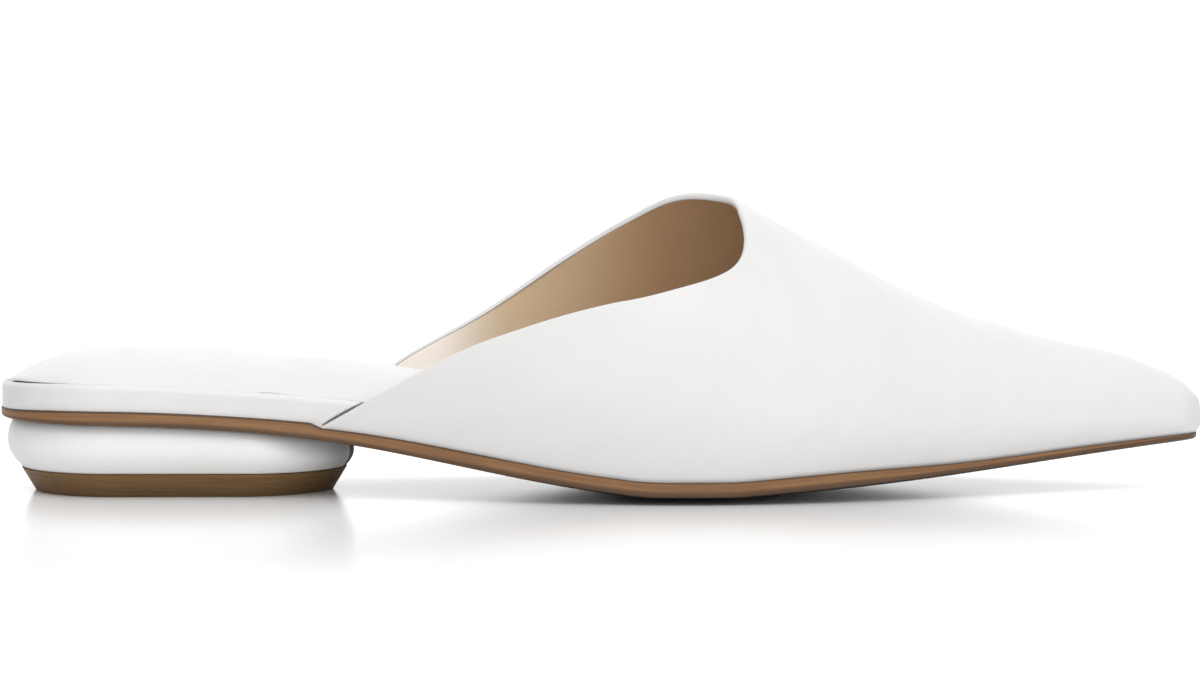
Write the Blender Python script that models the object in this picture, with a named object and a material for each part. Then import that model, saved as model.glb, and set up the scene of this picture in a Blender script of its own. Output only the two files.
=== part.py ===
"""Pointed mule flat, the right shoe, as an assembly of six solids.

Lengths are metres, +X runs to the toe, +Y to the inner (medial) side and +Z up.
Every curve is worked out along the shoe from the back of the heel; the assembly's
empty then moves the origin to the middle of the heel lift, on the floor.
"""
import math
from collections import namedtuple

import bmesh
import bpy
import numpy as np

# Driving sizes
SHOE_LENGTH = 0.275
BALL_WIDTH = 0.079
WAIST_WIDTH = 0.0535
SEAT_WIDTH = 0.054
NOSE_RADIUS = 0.0055
TOE_SET = 0.003
HEEL_HEIGHT = 0.0172
TOE_SPRING = 0.0115
INSTEP_HEIGHT = 0.061

# Sole
OUTSOLE_THICKNESS = 0.0042
SOLE_CAMBER = 0.0020
CAMBER_START = 0.5
TREAD_BLEND = 0.0010
EDGE_EASE = 0.0004
UPPER_REBATE = 0.0009
REBATE_RUN = 0.003

# Heel
LIFT_HEIGHT = 0.0055
LIFT_TOP_INSET = 0.0046
LIFT_FLARE = 0.0031
HEEL_BULGE = 0.0034
HEEL_INSET = 0.0014
BREAST_X = 0.0809
BREAST_SHARE = 0.50
BREAST_ARCH = 0.022
ARCH_POWER = 1.6

# Footbed
INSOLE_THICKNESS = 0.0060
BAND_INSET = 0.0008
BAND_ROUND = 0.0016
BAND_SHOULDER = 0.3
BAND_STEP_RUN = 0.004
SOCK_INSET = 0.0009
SOCK_EDGE = 0.0008
SOCK_CROWN = 0.0058
SOCK_POWER = 2.4
SOCK_SET = 0.0020
SOCK_RISE = 0.020

# Upper
WALL = 0.0018
FOOT_INSET = 0.0008
TUCK = 0.0034
TUCK_SHARE = 0.30
RIM_ROUND = 0.0004

# Fit
GAP = 0.0003
FIT = 0.00045
MERGE = 0.00001

# Half widths of the sole, as shares of the named widths
Outline = namedtuple("Outline", "along width lateral medial")
WIDTHS = {"seat": SEAT_WIDTH, "waist": WAIST_WIDTH, "ball": BALL_WIDTH, "nose": 2 * NOSE_RADIUS}
OUTLINE = [
    Outline(0.00, "seat", 0.500, 0.500),
    Outline(0.10, "seat", 0.500, 0.500),
    Outline(0.20, "seat", 0.496, 0.485),
    Outline(0.30, "waist", 0.533, 0.464),
    Outline(0.40, "ball", 0.420, 0.354),
    Outline(0.50, "ball", 0.479, 0.438),
    Outline(0.57, "ball", 0.499, 0.486),
    Outline(0.63, "ball", 0.484, 0.508),
    Outline(0.70, "ball", 0.430, 0.475),
    Outline(0.78, "ball", 0.335, 0.371),
    Outline(0.86, "ball", 0.230, 0.253),
    Outline(0.93, "ball", 0.143, 0.160),
    Outline(1.00, "nose", 0.450, 0.450),
]

# Underside along the middle, as shares of heel height and toe spring, with the
# outsole's thickness, its edge camber, the insole's thickness and the sock's crown
Sole = namedtuple("Sole", "along heel toe thick camber board crown")
SOLE = [
    Sole(0.00, 1.000, 0.000, 0.50, 0.00, 1.00, 0.85),
    Sole(0.05, 0.988, 0.000, 0.70, 0.00, 1.00, 0.85),
    Sole(0.10, 0.976, 0.000, 0.76, 0.00, 1.00, 0.89),
    Sole(0.20, 0.905, 0.000, 0.78, 0.00, 0.96, 0.98),
    Sole(0.30, 0.710, 0.000, 0.93, 0.15, 1.00, 1.00),
    Sole(0.40, 0.383, 0.000, 1.05, 0.50, 1.00, 1.00),
    Sole(0.50, 0.086, 0.000, 1.00, 0.90, 0.75, 0.62),
    Sole(0.53, 0.026, 0.000, 1.00, 0.98, 0.66, 0.53),
    Sole(0.555, 0.000, 0.000, 1.00, 1.00, 0.60, 0.47),
    Sole(0.58, -0.010, -0.010, 1.00, 1.00, 0.55, 0.42),
    Sole(0.61, 0.000, 0.012, 1.00, 1.00, 0.51, 0.37),
    Sole(0.65, 0.000, 0.072, 1.00, 0.98, 0.47, 0.33),
    Sole(0.70, 0.000, 0.163, 0.98, 0.95, 0.45, 0.30),
    Sole(0.80, 0.000, 0.410, 0.74, 0.70, 0.42, 0.24),
    Sole(0.90, 0.000, 0.710, 0.60, 0.50, 0.40, 0.18),
    Sole(1.00, 0.000, 1.000, 0.45, 0.30, 0.38, 0.15),
]

# Cross sections of the last: height of its top line over the sole, roundness of
# the section, set of the top line toward the inner side, and tuck at the sole
Section = namedtuple("Section", "along ridge power lean tuck")
LAST = [
    Section(0.25, 1.240, 2.00, 0.050, 0.70),
    Section(0.36, 1.257, 2.00, 0.050, 0.75),
    Section(0.45, 1.257, 2.00, 0.050, 0.90),
    Section(0.55, 1.166, 2.00, 0.050, 1.00),
    Section(0.62, 1.017, 2.00, 0.050, 1.00),
    Section(0.66, 0.902, 2.02, 0.050, 1.00),
    Section(0.70, 0.797, 2.05, 0.050, 1.00),
    Section(0.75, 0.659, 2.10, 0.046, 0.93),
    Section(0.80, 0.548, 2.15, 0.040, 0.85),
    Section(0.85, 0.460, 2.20, 0.031, 0.77),
    Section(0.90, 0.379, 2.25, 0.020, 0.70),
    Section(0.94, 0.318, 2.30, 0.012, 0.62),
    Section(0.97, 0.251, 2.35, 0.006, 0.56),
    Section(0.99, 0.191, 2.40, 0.002, 0.52),
    Section(1.00, 0.140, 2.40, 0.000, 0.50),
]

# Topline from the outer foot over the throat to the inner foot: place along the
# shoe, and height as a share of the section there
Topline = namedtuple("Topline", "side along up")
TOPLINE = [
    Topline("lateral", 0.2720, 0.000),
    Topline("lateral", 0.3000, 0.070),
    Topline("lateral", 0.3240, 0.134),
    Topline("lateral", 0.3577, 0.222),
    Topline("lateral", 0.4004, 0.325),
    Topline("lateral", 0.4340, 0.393),
    Topline("lateral", 0.4673, 0.458),
    Topline("lateral", 0.5003, 0.519),
    Topline("lateral", 0.5333, 0.578),
    Topline("lateral", 0.5662, 0.640),
    Topline("lateral", 0.5840, 0.680),
    Topline("lateral", 0.6018, 0.735),
    Topline("lateral", 0.6096, 0.768),
    Topline("lateral", 0.6151, 0.801),
    Topline("lateral", 0.6189, 0.838),
    Topline("lateral", 0.6209, 0.882),
    Topline("lateral", 0.6209, 0.919),
    Topline("lateral", 0.6199, 0.951),
    Topline("lateral", 0.6180, 0.985),
    Topline("medial", 0.6150, 1.000),
    Topline("medial", 0.6095, 0.992),
    Topline("medial", 0.6010, 0.974),
    Topline("medial", 0.5872, 0.948),
    Topline("medial", 0.5772, 0.926),
    Topline("medial", 0.5649, 0.894),
    Topline("medial", 0.5527, 0.857),
    Topline("medial", 0.5274, 0.769),
    Topline("medial", 0.4938, 0.652),
    Topline("medial", 0.4599, 0.539),
    Topline("medial", 0.4256, 0.426),
    Topline("medial", 0.3952, 0.335),
    Topline("medial", 0.3606, 0.243),
    Topline("medial", 0.3393, 0.186),
    Topline("medial", 0.3240, 0.140),
    Topline("medial", 0.3000, 0.000),
]

# Heel block from its foot to its top: height and inset, as shares
Heel = namedtuple("Heel", "up inset")
HEEL = [
    Heel(0.00, 1.00),
    Heel(0.12, 0.60),
    Heel(0.30, 0.18),
    Heel(0.52, 0.00),
    Heel(0.74, 0.08),
    Heel(0.90, 0.28),
    Heel(1.00, 0.50),
]

# Mesh density
END_STEPS = 6
LENGTH_STEPS = 26
ROUND_STEPS = 36
UPPER_STEPS = 14
RIM_SAMPLES = 721
RIM_GRADING = 0.5
HEEL_SIDE_STEPS = 7
ARCH_STEPS = 8
ACROSS_SOLE = (-1.0, -0.9, -0.75, -0.5, 0.0, 0.5, 0.75, 0.9, 1.0)
ACROSS_SOCK = (-1.0, -0.94, -0.86, -0.72, -0.5, 0.0, 0.5, 0.72, 0.86, 0.94, 1.0)

SIDES = {"lateral": -1.0, "medial": 1.0}


def spline(knots, values):
    """A natural cubic curve through a short table, as a function of position."""
    knots = np.asarray(knots, float)
    values = np.asarray(values, float)
    gap = np.diff(knots)
    slope = np.diff(values) / gap
    count = len(knots)
    system = np.eye(count)
    pull = np.zeros(count)
    for k in range(1, count - 1):
        system[k, k - 1:k + 2] = gap[k - 1], 2 * (gap[k - 1] + gap[k]), gap[k]
        pull[k] = 6 * (slope[k] - slope[k - 1])
    bend = np.linalg.solve(system, pull)

    def curve(at):
        at = np.clip(at, knots[0], knots[-1])
        k = np.clip(np.searchsorted(knots, at, side="right") - 1, 0, count - 2)
        done = at - knots[k]
        left = knots[k + 1] - at
        return ((bend[k] * left ** 3 + bend[k + 1] * done ** 3) / (6 * gap[k])
                + (values[k] / gap[k] - bend[k] * gap[k] / 6) * left
                + (values[k + 1] / gap[k] - bend[k + 1] * gap[k] / 6) * done)

    return curve


def column(table, name, size=1.0):
    """One column of a table, scaled by a size, as a curve along the shoe in metres."""
    knots = [row.along * SHOE_LENGTH for row in table]
    return spline(knots, [getattr(row, name) * size for row in table])


def half_width_column(side):
    """The sole's half width on one side, before its ends are rounded off."""
    knots = [row.along * SHOE_LENGTH for row in OUTLINE]
    return spline(knots, [getattr(row, side) * WIDTHS[row.width] for row in OUTLINE])


HALF_WIDTH = {side: half_width_column(side) for side in SIDES}
HEEL_RISE = column(SOLE, "heel", HEEL_HEIGHT)
TOE_RISE = column(SOLE, "toe", TOE_SPRING)
THICKNESS = column(SOLE, "thick", OUTSOLE_THICKNESS)
CAMBER = column(SOLE, "camber", SOLE_CAMBER)
BOARD = column(SOLE, "board", INSOLE_THICKNESS)
CROWN = column(SOLE, "crown", SOCK_CROWN)
RIDGE = column(LAST, "ridge", INSTEP_HEIGHT)
POWER = column(LAST, "power")
LEAN = column(LAST, "lean", BALL_WIDTH)
TUCKED = column(LAST, "tuck", TUCK)

HEEL_ROUND = SEAT_WIDTH / 2
NOSE_LENGTH = 0.81 * NOSE_RADIUS
FOOT_START = {side: min(row.along for row in TOPLINE if row.side == side) * SHOE_LENGTH
              for side in SIDES}
UNDER_UPPER = FOOT_INSET + WALL + FIT


def smoothstep(value):
    value = np.clip(value, 0.0, 1.0)
    return value * value * (3 - 2 * value)


def axis(x):
    """The line from the back of the heel to the tip, which the widths are laid off from."""
    return TOE_SET * (x / SHOE_LENGTH) ** 2


def end_rounding(x):
    """The factor that rounds the heel and the nose, which is 1 between them."""
    heel = np.clip((HEEL_ROUND - x) / HEEL_ROUND, 0.0, 1.0)
    nose = np.clip((x - SHOE_LENGTH + NOSE_LENGTH) / NOSE_LENGTH, 0.0, 1.0)
    return np.sqrt(1 - heel ** 2) * np.sqrt(1 - nose ** 2)


def half_width(x, side):
    return HALF_WIDTH[side](x) * end_rounding(x)


def outward(x, side):
    """The sole outline's outward direction in plan, at a place along the shoe."""
    step = 1e-6
    near = np.clip(x, 2 * step, SHOE_LENGTH - 2 * step)
    climb = (half_width(near + step, side) - half_width(near - step, side)) / (2 * step)
    climb = np.where(x < step, 1e6, np.where(x > SHOE_LENGTH - step, -1e6, climb))
    length = np.sqrt(1 + climb ** 2)
    return -climb / length, SIDES[side] / length


def outline(x, side, inset=0.0):
    """A point of the sole's outline, moved in from the edge by an inset."""
    away_x, away_y = outward(x, side)
    y = axis(x) + SIDES[side] * half_width(x, side)
    return x - inset * away_x, y - inset * away_y


def camber(x, y):
    """How far the sole curls up toward its edges across the ball and the toe."""
    outer = half_width(x, "lateral")
    inner = half_width(x, "medial")
    middle = axis(x) + (inner - outer) / 2
    share = np.abs(y - middle) / np.maximum((inner + outer) / 2, MERGE)
    curl = np.maximum((share - CAMBER_START) / (1 - CAMBER_START), 0.0)
    return CAMBER(x) * curl ** 2


def tread_line(x):
    """The underside along the middle, which runs into the flat of the ball without a kink."""
    rise = np.maximum(HEEL_RISE(x) + TOE_RISE(x), 0.0)
    near = np.clip(rise / TREAD_BLEND, 0.0, 1.0)
    return rise * near * (2 - near)


def sole_bottom(x, y):
    return tread_line(x) + camber(x, y)


def sole_top(x, y):
    """The outsole's top, lower by the rebate from where the upper's foot begins."""
    start = FOOT_START["lateral"] - REBATE_RUN
    lowered = UPPER_REBATE * smoothstep((x - start) / REBATE_RUN)
    return sole_bottom(x, y) + THICKNESS(x) - lowered


def insole_top(x, y):
    """The board's top, which takes no part in the rebate."""
    return sole_bottom(x, y) + THICKNESS(x) + GAP + BOARD(x)


def stations():
    """Places along the shoe: close together round both ends, even between them."""
    turn = np.linspace(0, math.pi / 2, END_STEPS + 1)
    heel = HEEL_ROUND * (1 - np.cos(turn))
    nose = SHOE_LENGTH - NOSE_LENGTH * (1 - np.cos(turn))[::-1]
    middle = np.linspace(heel[-1], nose[0], LENGTH_STEPS + 1)[1:-1]
    return np.concatenate([heel, middle, nose])


def material(name, colour, roughness):
    made = bpy.data.materials.new(name)
    made.use_nodes = True
    shader = made.node_tree.nodes["Principled BSDF"]
    shader.inputs["Base Color"].default_value = (*colour, 1.0)
    shader.inputs["Roughness"].default_value = roughness
    shader.inputs["Metallic"].default_value = 0.0
    made.diffuse_color = (*colour, 1.0)
    return made


def finish(name, mesh, colour, roughness):
    """Closes the seams of a lofted mesh and puts it in the assembly as a named object."""
    bmesh.ops.remove_doubles(mesh, verts=mesh.verts, dist=MERGE)
    bmesh.ops.recalc_face_normals(mesh, faces=mesh.faces)
    if mesh.calc_volume(signed=True) < 0:
        bmesh.ops.reverse_faces(mesh, faces=mesh.faces)
    data = bpy.data.meshes.new(name)
    mesh.to_mesh(data)
    mesh.free()
    data.shade_smooth()
    data.set_sharp_from_angle(angle=math.radians(40))
    data.materials.append(material(name, colour, roughness))
    piece = bpy.data.objects.new(name, data)
    piece.parent = ASSEMBLY
    PARTS.objects.link(piece)
    return piece


def loft(rings):
    """Skins closed rings of points; an end ring that has shrunk to a line closes itself."""
    mesh = bmesh.new()
    grid = [[mesh.verts.new(point) for point in ring] for ring in rings]
    for ring, following in zip(grid, grid[1:]):
        for k in range(len(ring)):
            n = (k + 1) % len(ring)
            mesh.faces.new((ring[k], ring[n], following[n], following[k]))
    return mesh


def slab_ring(x, insets, across_bottom, across_top, bottom, top, edge):
    """One cross section of a flat piece: its underside, one edge, its top, the other edge."""
    left = outline(x, "lateral", insets["lateral"])
    right = outline(x, "medial", insets["medial"])
    ease = [min(step, abs(right[1] - left[1]) / 2) for step, _ in edge]

    def between(share, ease_in):
        part = (share + 1) / 2
        span = right[1] - left[1] - 2 * ease_in
        return (left[0] + (right[0] - left[0]) * part, left[1] + ease_in + span * part)

    points = []
    for share in across_bottom:
        px, py = between(share, ease[0])
        points.append((px, py, bottom(px, py)))
    for k, (_, level) in list(enumerate(edge))[1:-1]:
        px, py = between(1.0, ease[k])
        points.append((px, py, level(px, py)))
    for share in reversed(across_top):
        px, py = between(share, ease[-1])
        points.append((px, py, top(px, py, share)))
    for k, (_, level) in list(enumerate(edge))[-2:0:-1]:
        px, py = between(-1.0, ease[k])
        points.append((px, py, level(px, py)))
    return points


def make_outsole():
    """The thin sole: heel seat, arch, flat tread at the ball, toe spring and eased edges."""
    edge = [
        (EDGE_EASE, None),
        (0.0, lambda x, y: sole_bottom(x, y) + EDGE_EASE),
        (0.0, lambda x, y: sole_top(x, y) - EDGE_EASE),
        (EDGE_EASE, None),
    ]
    insets = {"lateral": 0.0, "medial": 0.0}
    rings = [slab_ring(x, insets, ACROSS_SOLE, ACROSS_SOLE, sole_bottom,
                       lambda px, py, share: sole_top(px, py), edge) for x in stations()]
    return finish("outsole", loft(rings), (0.30, 0.19, 0.11), 0.55)


def insole_inset(x, side):
    """The side band stands near the sole's edge, and steps in where the upper covers it."""
    covered = smoothstep((x - FOOT_START[side] + BAND_STEP_RUN) / (BAND_STEP_RUN - 2 * GAP))
    return BAND_INSET + (UNDER_UPPER - BAND_INSET) * covered


def make_insole():
    """The footbed board with its wrapped side band, rounded along the top edge."""
    edge = [
        (EDGE_EASE, None),
        (0.0, lambda x, y: sole_top(x, y) + GAP + EDGE_EASE),
        (0.0, lambda x, y: insole_top(x, y) - BAND_ROUND),
        (BAND_SHOULDER * BAND_ROUND, lambda x, y: insole_top(x, y) - BAND_SHOULDER * BAND_ROUND),
        (BAND_ROUND, None),
    ]
    rings = []
    for x in stations():
        insets = {side: insole_inset(x, side) for side in SIDES}
        rings.append(slab_ring(x, insets, ACROSS_SOLE, ACROSS_SOLE,
                               lambda px, py: sole_top(px, py) + GAP,
                               lambda px, py, share: insole_top(px, py), edge))
    return finish("insole", loft(rings), (0.83, 0.82, 0.80), 0.5)


def sock_top(x, y, share):
    """The pad's pillow: steep at its rear edge, full under the heel, thin toward the toe."""
    start = BAND_INSET + SOCK_INSET + SOCK_SET
    rear = 1 - np.clip((start + SOCK_RISE - x) / SOCK_RISE, 0.0, 1.0) ** 2
    pillow = 1 - abs(share) ** SOCK_POWER
    return insole_top(x, y) + GAP + SOCK_EDGE + CROWN(x) * pillow * rear


def make_sock_liner():
    """The padded top sheet, lying on the insole from the heel into the toe."""
    edge = [
        (0.0, None),
        (0.0, lambda x, y: insole_top(x, y) + GAP + 0.5 * SOCK_EDGE),
        (0.0, None),
    ]
    rings = []
    for x in stations():
        insets = {side: insole_inset(x, side) + SOCK_INSET for side in SIDES}
        rings.append(slab_ring(x, insets, ACROSS_SOLE, ACROSS_SOCK,
                               lambda px, py: insole_top(px, py) + GAP, sock_top, edge))
    return finish("sock_liner", loft(rings), (0.86, 0.85, 0.83), 0.5)


def section_point(x, turn):
    """A point of the upper's outer surface.

    The turn runs from 0 at the outer foot, over 90 at the top line, to 180 at the
    inner foot, in degrees. Each half is a quarter of a superellipse, tucked in low down.
    """
    x, turn = np.broadcast_arrays(np.asarray(x, float), np.asarray(turn, float))
    sweep = np.radians(np.where(turn > 90, 180 - turn, turn))
    power = 2 / POWER(x)
    reach = np.clip(np.cos(sweep), 0.0, 1.0) ** power
    rise = np.clip(np.sin(sweep), 0.0, 1.0) ** power
    top_y = axis(x) + LEAN(x) * end_rounding(x)
    top_z = sole_top(x, axis(x)) + RIDGE(x)
    points = {}
    for side in SIDES:
        outset = TUCKED(x) - FOOT_INSET
        foot_x, foot_y = outline(x, side, -outset)
        seat_x, seat_y = outline(x, side, FOOT_INSET)
        foot_z = sole_top(seat_x, seat_y) + GAP
        height = top_z - foot_z
        up = rise * height
        tuck = TUCKED(x) * np.clip(1 - up / (TUCK_SHARE * height), 0.0, 1.0) ** 2
        away_x, away_y = outward(x, side)
        points[side] = (x + (foot_x - x) * reach - tuck * away_x,
                        top_y + (foot_y - top_y) * reach - tuck * away_y,
                        foot_z + up)
    outer = np.stack(points["lateral"], axis=-1)
    inner = np.stack(points["medial"], axis=-1)
    return np.where((turn > 90)[..., None], inner, outer)


def topline():
    """Place along the shoe of the topline, as a curve over the turn, and its end turns."""
    turns = []
    places = []
    for row in TOPLINE:
        place = row.along * SHOE_LENGTH
        sweep = math.degrees(math.asin(row.up ** (POWER(place) / 2)))
        turns.append(sweep if row.side == "lateral" else 180 - sweep)
        places.append(place)
    return spline(turns, places)


def upper_grid():
    """The outer surface as rows from the topline to the nose, and columns round the foot."""
    cut = topline()
    fine = np.linspace(0, 180, RIM_SAMPLES)
    rim = section_point(cut(fine), fine)
    run = np.concatenate([[0], np.cumsum(np.linalg.norm(np.diff(rim, axis=0), axis=1))])
    share = np.linspace(0, 1, ROUND_STEPS + 1)
    share = share - RIM_GRADING * np.sin(4 * math.pi * share) / (4 * math.pi)
    rim_turn = np.interp(share * run[-1], run, fine)
    toe_turn = np.linspace(0, 180, ROUND_STEPS + 1)
    rows = []
    nose_start = SHOE_LENGTH - NOSE_LENGTH
    for along in np.linspace(0, 1, UPPER_STEPS + 1):
        x = cut(rim_turn) + (nose_start - cut(rim_turn)) * along
        blend = smoothstep(along)
        rows.append(section_point(x, rim_turn + (toe_turn - rim_turn) * blend))
    for turn in np.linspace(0, math.pi / 2, END_STEPS + 1)[1:]:
        x = nose_start + NOSE_LENGTH * math.sin(turn)
        rows.append(section_point(x, toe_turn))
    return np.array(rows)


def surface_normals(grid):
    """Outward normals of the grid, from the faces round each point; the nose row is a seam."""
    first, second = grid[:-1, :-1], grid[:-1, 1:]
    third, fourth = grid[1:, 1:], grid[1:, :-1]
    face = np.cross(third - first, second - fourth)
    normal = np.zeros_like(grid)
    normal[:-1, :-1] += face
    normal[:-1, 1:] += face
    normal[1:, 1:] += face
    normal[1:, :-1] += face
    normal[-1] += normal[-1][::-1].copy()
    return normal / np.maximum(np.linalg.norm(normal, axis=-1, keepdims=True), 1e-15)


def make_upper():
    """The hollow shell: outer and inner surface, a rounded topline and two flat feet."""
    outer = upper_grid()
    normal = surface_normals(outer)
    inner = outer - WALL * normal
    for edge in (0, -1):
        flat = normal[:, edge, :2] / np.linalg.norm(normal[:, edge, :2], axis=1, keepdims=True)
        inner[:, edge, :2] = outer[:, edge, :2] - WALL * flat
        inner[:, edge, 2] = sole_top(inner[:, edge, 0], inner[:, edge, 1]) + GAP
    back = outer[0] - outer[1]
    back[[0, -1], 2] = 0.0
    back /= np.linalg.norm(back, axis=1, keepdims=True)
    rim = (outer[0] + inner[0]) / 2 + RIM_ROUND * back
    mesh = bmesh.new()
    skins = [[[mesh.verts.new(point) for point in row] for row in skin] for skin in (outer, inner)]
    rim_verts = [mesh.verts.new(point) for point in rim]
    for skin in skins:
        for row, following in zip(skin, skin[1:]):
            for k in range(len(row) - 1):
                mesh.faces.new((row[k], row[k + 1], following[k + 1], following[k]))
    for k in range(len(rim_verts) - 1):
        mesh.faces.new((skins[0][0][k], skins[0][0][k + 1], rim_verts[k + 1], rim_verts[k]))
        mesh.faces.new((rim_verts[k], rim_verts[k + 1], skins[1][0][k + 1], skins[1][0][k]))
    for edge in (0, -1):
        mesh.faces.new((skins[0][0][edge], rim_verts[edge], skins[1][0][edge]))
        for row, following in zip(range(len(outer) - 1), range(1, len(outer))):
            mesh.faces.new((skins[0][row][edge], skins[1][row][edge],
                            skins[1][following][edge], skins[0][following][edge]))
    return finish("upper", mesh, (0.86, 0.85, 0.83), 0.45)


def heel_loop(inset, front):
    """Half loops of the heel in plan, from its round back to the middle of its arched front."""
    halves = {}
    back = HEEL_ROUND * (1 - np.cos(np.linspace(0, math.pi / 2, END_STEPS + 1)))
    straight = front - BREAST_ARCH
    side_run = np.linspace(back[-1], straight, HEEL_SIDE_STEPS + 1)[1:]
    for side in SIDES:
        points = [outline(x, side, inset) for x in np.concatenate([back, side_run])]
        shoulder = points[-1][1] - axis(straight)
        for turn in np.linspace(0, math.pi / 2, ARCH_STEPS + 1)[1:]:
            x = straight + BREAST_ARCH * math.sin(turn)
            across = max(math.cos(turn), 0.0) ** (2 / ARCH_POWER)
            points.append((x, axis(x) + shoulder * across))
        halves[side] = points
    return halves


def tower(levels):
    """Skins plan loops stacked upward, and closes both ends with a ladder of faces."""
    mesh = bmesh.new()
    grid = []
    for halves, height in levels:
        grid.append({side: [mesh.verts.new((x, y, height(x, y))) for x, y in halves[side]]
                     for side in SIDES})
    for level, above in zip(grid, grid[1:]):
        for side in SIDES:
            for k in range(len(level[side]) - 1):
                mesh.faces.new((level[side][k], level[side][k + 1],
                                above[side][k + 1], above[side][k]))
    for level in (grid[0], grid[-1]):
        for k in range(len(level["lateral"]) - 1):
            mesh.faces.new((level["lateral"][k], level["lateral"][k + 1],
                            level["medial"][k + 1], level["medial"][k]))
    return mesh


def breast(inset):
    """The place of the heel's front, which bulges less than its sides do."""
    return BREAST_X - BREAST_SHARE * (inset - HEEL_INSET)


def make_heel_block():
    """The leather-wrapped heel, which bulges between the lift and the outsole."""
    foot = LIFT_HEIGHT + GAP

    def level(row):
        def height(x, y):
            ceiling = sole_bottom(x, y) - GAP
            return foot + (ceiling - foot) * row.up
        return height

    insets = [HEEL_INSET + HEEL_BULGE * row.inset for row in HEEL]
    levels = [(heel_loop(inset, breast(inset)), level(row)) for row, inset in zip(HEEL, insets)]
    return finish("heel_block", tower(levels), (0.80, 0.79, 0.77), 0.45)


def make_heel_lift():
    """The top piece, which tapers in toward the floor and stands flat on it."""
    levels = [
        (heel_loop(LIFT_TOP_INSET + LIFT_FLARE, LIFT_FRONT), lambda x, y: 0.0),
        (heel_loop(LIFT_TOP_INSET, breast(LIFT_TOP_INSET)), lambda x, y: LIFT_HEIGHT),
    ]
    return finish("heel_lift", tower(levels), (0.13, 0.09, 0.06), 0.5)


for old in list(bpy.data.objects):
    bpy.data.objects.remove(old, do_unlink=True)

PARTS = bpy.data.collections.new("mule")
bpy.context.scene.collection.children.link(PARTS)
ASSEMBLY = bpy.data.objects.new("mule_frame", None)
PARTS.objects.link(ASSEMBLY)
LIFT_FRONT = breast(LIFT_TOP_INSET) - LIFT_FLARE
REST_X = (LIFT_TOP_INSET + LIFT_FLARE + LIFT_FRONT) / 2
ASSEMBLY.location = (-REST_X, 0.0, 0.0)

make_outsole()
make_insole()
make_sock_liner()
make_upper()
make_heel_block()
make_heel_lift()
bpy.context.view_layer.update()
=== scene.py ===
"""Looks of the pointed mule flat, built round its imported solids.

The last, the sole and the heel are worked out here from the part's own sizes and
tables, in finer steps, and get what the solids leave out: the rolled topline, the
lining, the slits of the footbed, the seams of the heel, soft creases and the finish
of every surface. Lengths are metres, +X runs to the toe, +Y to the inner (medial)
side and +Z up.
"""

import math
from collections import namedtuple

import bmesh
import bpy
import numpy as np
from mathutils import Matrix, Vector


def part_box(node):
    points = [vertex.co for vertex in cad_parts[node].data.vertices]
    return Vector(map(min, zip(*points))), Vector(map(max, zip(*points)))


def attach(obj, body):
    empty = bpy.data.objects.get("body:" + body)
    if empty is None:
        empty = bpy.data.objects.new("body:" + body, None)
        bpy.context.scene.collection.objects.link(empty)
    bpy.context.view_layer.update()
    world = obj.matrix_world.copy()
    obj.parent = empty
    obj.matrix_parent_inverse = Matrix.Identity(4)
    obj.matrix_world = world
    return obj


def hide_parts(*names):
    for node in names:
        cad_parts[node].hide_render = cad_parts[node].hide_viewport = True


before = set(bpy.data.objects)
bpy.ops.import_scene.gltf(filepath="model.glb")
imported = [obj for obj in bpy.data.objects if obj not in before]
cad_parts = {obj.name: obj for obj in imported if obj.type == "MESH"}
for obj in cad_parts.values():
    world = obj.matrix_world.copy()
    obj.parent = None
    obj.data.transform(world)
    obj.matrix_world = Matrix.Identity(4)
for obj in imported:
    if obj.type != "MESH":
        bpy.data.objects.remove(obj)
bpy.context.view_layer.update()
BODY = "root"
HEEL_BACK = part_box("outsole")[0].x

# Driving sizes, the same as the part's
SHOE_LENGTH = 0.275
BALL_WIDTH = 0.079
WAIST_WIDTH = 0.0535
SEAT_WIDTH = 0.054
NOSE_RADIUS = 0.0055
TOE_SET = 0.003
HEEL_HEIGHT = 0.0172
TOE_SPRING = 0.0115
INSTEP_HEIGHT = 0.061
OUTSOLE_THICKNESS = 0.0042
SOLE_CAMBER = 0.0020
CAMBER_START = 0.5
TREAD_BLEND = 0.0010
UPPER_REBATE = 0.0009
REBATE_RUN = 0.003
LIFT_HEIGHT = 0.0055
LIFT_TOP_INSET = 0.0046
LIFT_FLARE = 0.0031
HEEL_BULGE = 0.0034
HEEL_INSET = 0.0014
BREAST_X = 0.0809
BREAST_SHARE = 0.50
BREAST_ARCH = 0.022
ARCH_POWER = 1.6
INSOLE_THICKNESS = 0.0060
BAND_INSET = 0.0008
BAND_ROUND = 0.0016
SOCK_INSET = 0.0009
SOCK_EDGE = 0.0008
SOCK_CROWN = 0.0058
SOCK_POWER = 2.4
SOCK_SET = 0.0020
SOCK_RISE = 0.020
WALL = 0.0018
FOOT_INSET = 0.0008
TUCK = 0.0034
TUCK_SHARE = 0.30
GAP = 0.0003
FIT = 0.00045
MERGE = 0.00001
HEEL_ROUND = SEAT_WIDTH / 2
NOSE_LENGTH = 0.81 * NOSE_RADIUS
UNDER_UPPER = FOOT_INSET + WALL + FIT

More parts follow.
